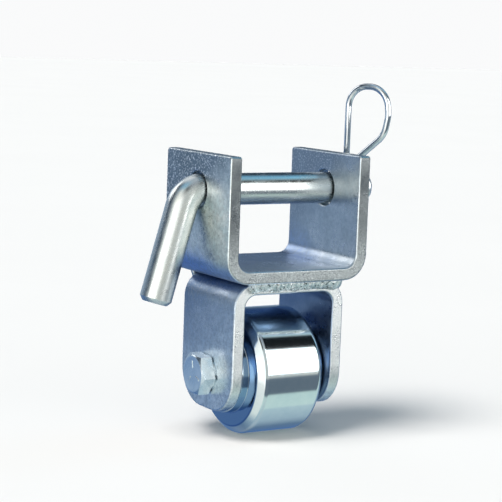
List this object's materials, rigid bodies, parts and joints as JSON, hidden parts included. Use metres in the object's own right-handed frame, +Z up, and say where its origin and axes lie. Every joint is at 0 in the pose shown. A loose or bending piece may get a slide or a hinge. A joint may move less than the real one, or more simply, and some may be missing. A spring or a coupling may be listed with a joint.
{
  "type": "receiver roller bracket",
  "caption": "U-shaped bracket that pins under a square towing receiver and carries a steel roller in a welded fork, to roll over the ground instead of scraping.",
  "frame": {"origin": "middle of the saddle's floor, on its upper face, where the receiver tube bears", "axes": "+Z up, towards the receiver; X along the roller's axle and the hitch pin, with the bolt head and the pin's handle at -X; +Y along the receiver into the vehicle"},
  "size_m": [0.1288, 0.0636, 0.1774],
  "materials": {
    "saddle_zinc": "bright zinc plate, satin, faint blue",
    "fork_zinc": "bright zinc plate, satin, mottled blue",
    "weld_zinc": "rough weld bead, zinc plated over",
    "roller_steel": "turned and bright plated, mirror-like",
    "bushing_bronze": "plain bearing bronze",
    "sleeve_steel": "ground steel tube",
    "bolt_zinc": "bright zinc plate",
    "nut_zinc": "bright zinc plate",
    "nylon": "natural nylon",
    "pin_steel": "polished bright plated bar",
    "clip_wire": "bright plated spring wire"
  },
  "bodies": {
    "bracket": {"saddle_bracket": "saddle_zinc", "fork_bracket": "fork_zinc", "front_weld": "weld_zinc", "rear_weld": "weld_zinc", "axle_bolt": "bolt_zinc", "lock_nut": "nut_zinc", "nut_nylon_insert": "nylon", "axle_sleeve": "sleeve_steel"},
    "roller": {"roller": "roller_steel", "bushing_left": "bushing_bronze", "bushing_right": "bushing_bronze"},
    "hitch_pin": {"hitch_pin": "pin_steel"},
    "spring_clip": {"spring_clip": "clip_wire"}
  },
  "joints": [
    {"name": "roller_spin", "type": "hinge", "parent": "bracket", "child": "roller", "pos_m": [0, 0, -0.05475], "axis": [1, 0, 0], "continuous": true},
    {"name": "hitch_pin_pull", "type": "slide", "parent": "bracket", "child": "hitch_pin", "axis": [-1, 0, 0], "range_m": [0, 0.102]},
    {"name": "spring_clip_pull", "type": "slide", "parent": "hitch_pin", "child": "spring_clip", "axis": [0, 0, 1], "range_m": [0, 0.042], "deforming": ["spring_clip"]}
  ]
}
